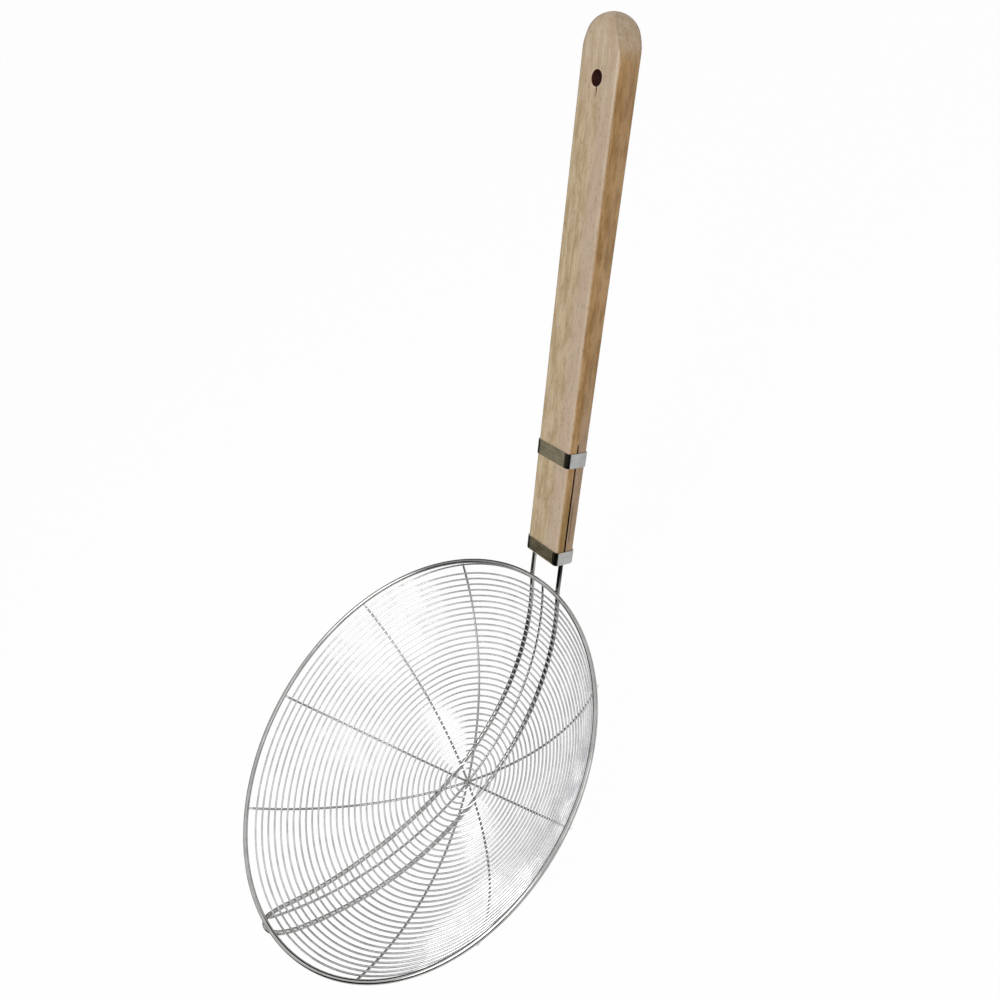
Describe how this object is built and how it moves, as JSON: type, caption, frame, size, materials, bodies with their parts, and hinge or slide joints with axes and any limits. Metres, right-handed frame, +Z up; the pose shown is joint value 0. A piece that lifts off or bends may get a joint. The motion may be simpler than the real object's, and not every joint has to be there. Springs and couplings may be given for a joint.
{
  "type": "spider skimmer",
  "caption": "Shallow round wire-mesh bowl on radial spokes and a hairpin wire frame, with a flat tapered wooden handle, steel bands and a hanging hole, for lifting food out of hot liquid.",
  "frame": {"origin": "bottom centre of the whole skimmer, with the rim level", "axes": "+Z up out of the bowl, square to the rim; +Y from the bowl towards the handle, which rises; +X to the right of someone who looks along +Y"},
  "size_m": [0.2666, 0.5164, 0.301],
  "materials": {
    "wood": "smooth, unvarnished, pale with darker grain",
    "band_steel": "satin strip",
    "wire_steel": "drawn wire, polished",
    "mesh_steel": "drawn wire, polished"
  },
  "bodies": {
    "root": {"handle": "wood", "upper_band": "band_steel", "lower_band": "band_steel", "hairpin_frame": "wire_steel", "rim_ring": "wire_steel", "mesh_spiral": "mesh_steel", "spoke_1": "wire_steel", "spoke_2": "wire_steel", "spoke_3": "wire_steel", "spoke_4": "wire_steel", "spoke_5": "wire_steel"}
  },
  "joints": []
}
